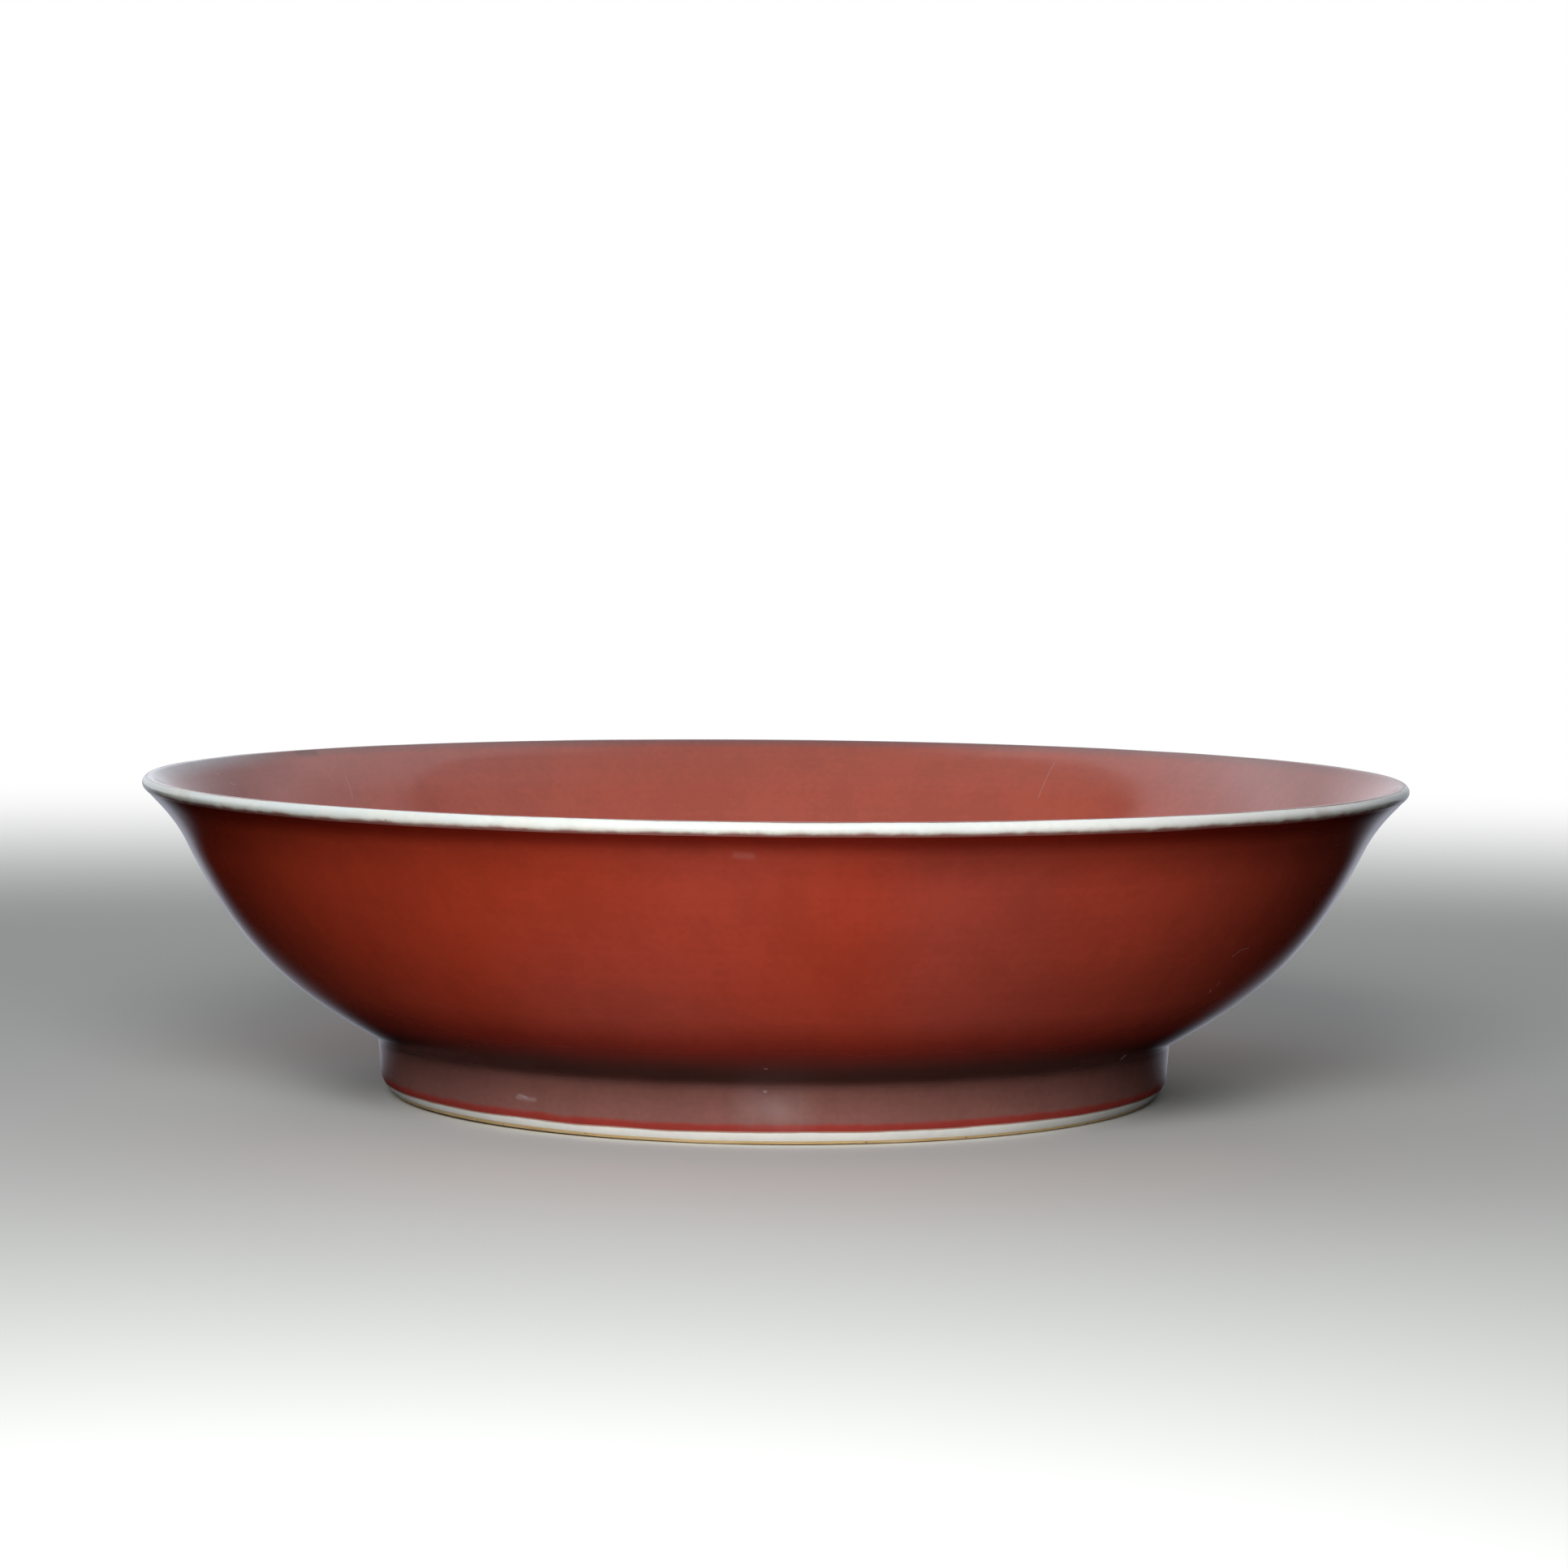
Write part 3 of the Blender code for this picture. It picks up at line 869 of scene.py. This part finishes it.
def white(name, start_edge, end_edge, end_fade, bright_across):
    """White glaze, brighter on one side, which thins to its neighbours' colours unevenly at its edges."""
    finish = Finish(name, WHITE_ROUGHNESS)
    start = finish.fact("from_start")
    end = finish.fact("to_end")
    colour = finish.mix(finish.span(finish.noise(*WHITE_CLOUD_NOISE), *CLOUD_SPAN), WHITE, WHITE_COOL)
    colour = finish.mix(finish.span(finish.noise(*WARM_NOISE), *WARM_SPAN), colour, WHITE_WARM)
    colour = finish.mix(finish.span(finish.x, *bright_across), colour, WHITE_BRIGHT)
    uneven = finish.noise(*UNEVEN_NOISE)
    for place, edge, fade in ((start, start_edge, START_FADE), (end, end_edge, end_fade)):
        if edge is not None:
            inset = finish.minus(place, finish.times(uneven, fade))
            colour = finish.mix(finish.span(inset, fade, 0.0, 0.0, EDGE_STAIN), colour, STAIN)
            colour = finish.mix(finish.span(inset, fade * EDGE_FROM, fade * EDGE_TO), colour, edge)
    colour = finish.mix(finish.span(finish.noise(*STAIN_NOISE), *STAIN_SPAN), colour, STAIN)
    specks = finish.times(finish.specks(*WHITE_SPECKS), WHITE_SPECK_STRENGTH)
    colour = finish.mix(specks, colour, BISCUIT_DIRT)
    finish.colour(mottled(finish, colour, start, WHITE_MOTTLE))
    orange_peel(finish, start)
    return finish.material


# Bare clay: noises, and distances from the glaze in metres where it is burnt
BISCUIT_ROUGHNESS = 0.72
BISCUIT_CLOUD_NOISE = (180.0, 4.0)
BURNT_OUTSIDE = (0.0009, 0.0)
BURNT_INSIDE = (0.0005, 0.0)
BURNT_SHARE = 0.6
BISCUIT_SPECKS = (900.0, 0.22)
BISCUIT_SPECK_STRENGTH = 0.7
BISCUIT_GRAIN_NOISE = (2200.0, 3.0)
BISCUIT_GRAIN_STRENGTH = 0.5
BISCUIT_GRAIN_DISTANCE = 0.00006


def biscuit(name):
    """Bare fired clay: tan, burnt beside the glaze and a little dirty on the rest."""
    finish = Finish(name, BISCUIT_ROUGHNESS)
    start = finish.fact("from_start")
    end = finish.fact("to_end")
    cloud = finish.span(finish.noise(*BISCUIT_CLOUD_NOISE), *CLOUD_SPAN)
    colour = finish.mix(cloud, BISCUIT, BISCUIT_BURNT)
    burnt = finish.plus(finish.span(start, *BURNT_OUTSIDE), finish.span(end, *BURNT_INSIDE))
    colour = finish.mix(finish.times(burnt, BURNT_SHARE), colour, BISCUIT_BURNT)
    dirt = finish.times(finish.specks(*BISCUIT_SPECKS), BISCUIT_SPECK_STRENGTH)
    finish.colour(finish.mix(dirt, colour, BISCUIT_DIRT))
    finish.bump(finish.noise(*BISCUIT_GRAIN_NOISE), BISCUIT_GRAIN_STRENGTH, BISCUIT_GRAIN_DISTANCE)
    return finish.material


# Stage

# Floor, in metres, with its colours
FLOOR_RADIUS = 3.0
FLOOR_SIDES = 96
FLOOR_DROP = 0.0001
FLOOR_ROUGHNESS = 0.6
FLOOR_PALE = (0.70, 0.71, 0.69)
FLOOR_DARK = (0.045, 0.045, 0.043)
MIRRORED_SHARE = 0.04
MIRRORED_WHITE = (0.44, 0.46, 0.54)
CARD_PALE = (0.82, 0.81, 0.79)
CARD_HALF_WIDTH = 0.065
CARD_SOFT_EDGE = 0.055
CARD_BACK = (-0.04, 0.04)
WHITE_FADE = (0.30, 0.80)
BACK_SLANT = 1.5
BACK_FADE = (-0.150, -0.030)
BACK_FRONT = (-0.01, 0.03)


def studio_floor():
    """Pale floor that fades to white and keeps the dish's shadow. The dish has a pale card in front of it, a
    dark table at its sides and the white backdrop behind."""
    bpy.ops.mesh.primitive_circle_add(vertices=FLOOR_SIDES, radius=FLOOR_RADIUS, fill_type="NGON",
                                      location=(0, 0, -FLOOR_DROP))
    floor = bpy.context.object
    floor.name = "studio_floor"
    finish = Finish("studio_floor_finish", FLOOR_ROUGHNESS)
    finish.shader.inputs["Specular IOR Level"].default_value = 0.0
    paths = finish.tree.nodes.new("ShaderNodeLightPath")
    camera_ray = paths.outputs["Is Camera Ray"]
    glossy_ray = paths.outputs["Is Glossy Ray"]
    across = finish.math("ABSOLUTE", finish.x)

    beside = finish.span(across, CARD_HALF_WIDTH - CARD_SOFT_EDGE, CARD_HALF_WIDTH + CARD_SOFT_EDGE)
    lit = finish.mix(finish.math("MAXIMUM", beside, finish.span(finish.y, *CARD_BACK)), CARD_PALE, FLOOR_DARK)
    lit = finish.mix(glossy_ray, lit, finish.mix(MIRRORED_SHARE, (0.0, 0.0, 0.0), lit))
    finish.colour(finish.mix(camera_ray, lit, FLOOR_PALE))

    squares = finish.plus(finish.times(finish.x, finish.x), finish.times(finish.y, finish.y))
    seen = finish.times(camera_ray, finish.span(finish.math("SQRT", squares), *WHITE_FADE))
    behind = finish.minus(finish.y, finish.times(across, BACK_SLANT))
    mirrored = finish.times(finish.span(behind, *BACK_FADE), finish.span(finish.y, *BACK_FRONT))
    mirrored = finish.times(glossy_ray, mirrored)
    white_light = finish.tree.nodes.new("ShaderNodeEmission")
    finish.put(white_light.inputs["Color"], finish.mix(glossy_ray, (1.0, 1.0, 1.0), MIRRORED_WHITE))
    blend = finish.tree.nodes.new("ShaderNodeMixShader")
    finish.put(blend.inputs[0], finish.plus(seen, mirrored))
    finish.put(blend.inputs[1], finish.shader.outputs[0])
    finish.put(blend.inputs[2], white_light.outputs[0])
    finish.put(finish.tree.nodes["Material Output"].inputs[0], blend.outputs[0])
    floor.data.materials.append(finish.material)


# World: places on the unit sphere round the dish, and strengths
AMBIENT_LOW = 0.05
AMBIENT_TOP = 0.90
CEILING_HEIGHTS = (0.30, 0.90)
BACKDROP_LEFT = 1.0
BACKDROP_RIGHT = 0.45
BACKDROP_DEPTHS = (0.0, 0.12)
BACKDROP_ACROSS = (-0.2, 0.5)
BACKDROP_COLOUR = (0.88, 0.93, 1.0)
SIDE_LEFT = 0.85
SIDE_RIGHT = 0.55
SIDE_NEAR = 0.15
SIDE_FAR = 0.40
SIDE_HEIGHTS = (0.12, 0.30)
SIDE_BACK = (0.60, 0.85)
ARCH_OUT = (0.02, 0.25, 0.0, 0.24)
ARCH_IN = (0.27, 0.72, 0.0, 0.15)
ARCH_SOFT_EDGE = 0.04
DIFFUSE_SHARE = 0.08


def studio_world():
    """White to the camera. The dish has a pale backdrop behind it, a soft panel at each side, a ceiling and a
    dim front."""
    world = bpy.data.worlds.new("studio_world")
    bpy.context.scene.world = world
    world.use_nodes = True
    tree = world.node_tree
    light = tree.nodes["Background"]
    seen = tree.nodes.new("ShaderNodeBackground")
    seen.inputs["Color"].default_value = (1.0, 1.0, 1.0, 1.0)
    paths = tree.nodes.new("ShaderNodeLightPath")
    coordinates = tree.nodes.new("ShaderNodeTexCoord")
    split = tree.nodes.new("ShaderNodeSeparateXYZ")
    tree.links.new(coordinates.outputs["Generated"], split.inputs[0])

    def span(socket, low, high, to_low=0.0, to_high=1.0):
        node = tree.nodes.new("ShaderNodeMapRange")
        node.interpolation_type = "SMOOTHSTEP"
        tree.links.new(socket, node.inputs["Value"])
        for name, value in (("From Min", low), ("From Max", high), ("To Min", to_low), ("To Max", to_high)):
            node.inputs[name].default_value = value
        return node.outputs["Result"]

    def joined(operation, first, second):
        node = tree.nodes.new("ShaderNodeMath")
        node.operation = operation
        tree.links.new(first, node.inputs[0])
        tree.links.new(second, node.inputs[1])
        return node.outputs[0]

    x, y, z = split.outputs
    ceiling = span(z, *CEILING_HEIGHTS, AMBIENT_LOW, AMBIENT_TOP)
    backdrop = joined("MULTIPLY", span(y, *BACKDROP_DEPTHS),
                      span(x, *BACKDROP_ACROSS, BACKDROP_LEFT, BACKDROP_RIGHT))
    sides = joined("ADD", span(x, -SIDE_NEAR, -SIDE_FAR, 0.0, SIDE_LEFT),
                   span(x, SIDE_NEAR, SIDE_FAR, 0.0, SIDE_RIGHT))
    aside = joined("MULTIPLY", x, x)
    arch = joined("SUBTRACT", span(aside, *ARCH_OUT), span(aside, *ARCH_IN))
    sides = joined("MULTIPLY", sides, span(joined("SUBTRACT", y, arch), -ARCH_SOFT_EDGE, ARCH_SOFT_EDGE))
    sides = joined("MULTIPLY", sides, span(y, *SIDE_BACK, 1.0, 0.0))
    sides = joined("MULTIPLY", sides, span(z, *SIDE_HEIGHTS))
    around = joined("ADD", joined("MAXIMUM", ceiling, backdrop), sides)
    share = span(paths.outputs["Is Diffuse Ray"], 0.0, 1.0, 1.0, DIFFUSE_SHARE)
    tree.links.new(joined("MULTIPLY", around, share), light.inputs["Strength"])
    light.inputs["Color"].default_value = (*BACKDROP_COLOUR, 1.0)
    blend = tree.nodes.new("ShaderNodeMixShader")
    tree.links.new(paths.outputs["Is Camera Ray"], blend.inputs[0])
    tree.links.new(light.outputs[0], blend.inputs[1])
    tree.links.new(seen.outputs[0], blend.inputs[2])
    tree.links.new(blend.outputs[0], tree.nodes["World Output"].inputs[0])


def soft_light(name, azimuth, elevation, distance, size, level):
    """A square soft light aimed at the dish. At level 1 it lights a white card that faces it to white."""
    data = bpy.data.lights.new(name, "AREA")
    data.shape = "SQUARE"
    data.size = size
    data.energy = level * math.pi**2 * distance**2
    lamp = bpy.data.objects.new(name, data)
    bpy.context.scene.collection.objects.link(lamp)
    a = math.radians(azimuth)
    e = math.radians(elevation)
    target = Vector((0.0, 0.0, DISH_HEIGHT / 2))
    away = Vector((math.sin(a) * math.cos(e), -math.cos(a) * math.cos(e), math.sin(e)))
    lamp.location = target + away * distance
    lamp.rotation_euler = away.to_track_quat("Z", "Y").to_euler()
    return lamp


def photograph_camera():
    """Camera at the photograph's place, turn and focal length."""
    data = bpy.data.cameras.new("photograph_camera")
    data.sensor_width = SENSOR_WIDTH
    data.lens = SENSOR_WIDTH * FOCAL_PIXELS / PHOTO_SIZE
    data.clip_start = CLIP_START
    camera = bpy.data.objects.new("photograph_camera", data)
    bpy.context.scene.collection.objects.link(camera)
    yaw, pitch, roll = CAMERA_YAW, CAMERA_PITCH, CAMERA_ROLL
    right = Vector((math.cos(yaw), -math.sin(yaw), 0.0))
    ahead = Vector((math.sin(yaw) * math.cos(pitch), math.cos(yaw) * math.cos(pitch), -math.sin(pitch)))
    up = right.cross(ahead)
    turned_right = right * math.cos(roll) + up * math.sin(roll)
    turned_up = up * math.cos(roll) - right * math.sin(roll)
    turn = Matrix((turned_right, turned_up, -ahead)).transposed()
    camera.matrix_world = Matrix.Translation((0.0, -CAMERA_BACK, CAMERA_HEIGHT)) @ turn.to_4x4()
    bpy.context.scene.camera = camera


# The dish

# White glazes, in metres: widths of their last edges, and where they grow brighter across the dish
RIM_END_FADE = 0.0010
FOOT_END_FADE = 0.0002
BASE_END_FADE = 0.0004
BRIGHT_RIGHT = (0.010, 0.050)
BRIGHT_ALL = (-0.20, -0.10)


def dress(piece, material, node):
    """A piece that stands for a solid of the frame."""
    piece.data.materials.append(material)
    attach(piece, "root")
    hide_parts(node)


dress(coat("inner_glaze_skin", "well_middle", "rim_inner", inside_relief),
      inner_red(), "inner_red_glaze")
dress(coat("rim_glaze_bead", "rim_inner", "rim_outer", plain_relief),
      white("rim_white_glaze_finish", RED_THIN, RED_THIN, RIM_END_FADE, BRIGHT_RIGHT),
      "rim_white_glaze")
dress(coat("outer_glaze_skin", "rim_outer", "foot_red", wall_relief),
      outer_red(), "outer_red_glaze")
dress(coat("foot_glaze_band", "foot_red", "foot_white", plain_relief),
      white("foot_white_glaze_finish", PALE_EDGE, BISCUIT, FOOT_END_FADE, BRIGHT_ALL),
      "foot_white_glaze")
dress(foot_biscuit("foot_ring_biscuit"), biscuit("foot_biscuit_finish"), "foot_ring")
dress(coat("base_glaze_skin", "base", "base_middle", plain_relief),
      white("base_white_glaze_finish", BISCUIT, None, BASE_END_FADE, BRIGHT_RIGHT),
      "base_white_glaze")

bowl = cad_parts["bowl"]
bowl.data.materials.clear()
bowl.data.materials.append(biscuit("bowl_biscuit_finish"))

studio_floor()
studio_world()
soft_light("key_light", azimuth=-5.0, elevation=24.0, distance=0.5, size=0.22, level=0.76)
back_fill = soft_light("back_fill", azimuth=180.0, elevation=14.0, distance=0.9, size=0.6, level=0.40)
back_fill.visible_camera = False
back_fill.visible_glossy = False
photograph_camera()
bpy.context.scene.view_settings.view_transform = "Standard"
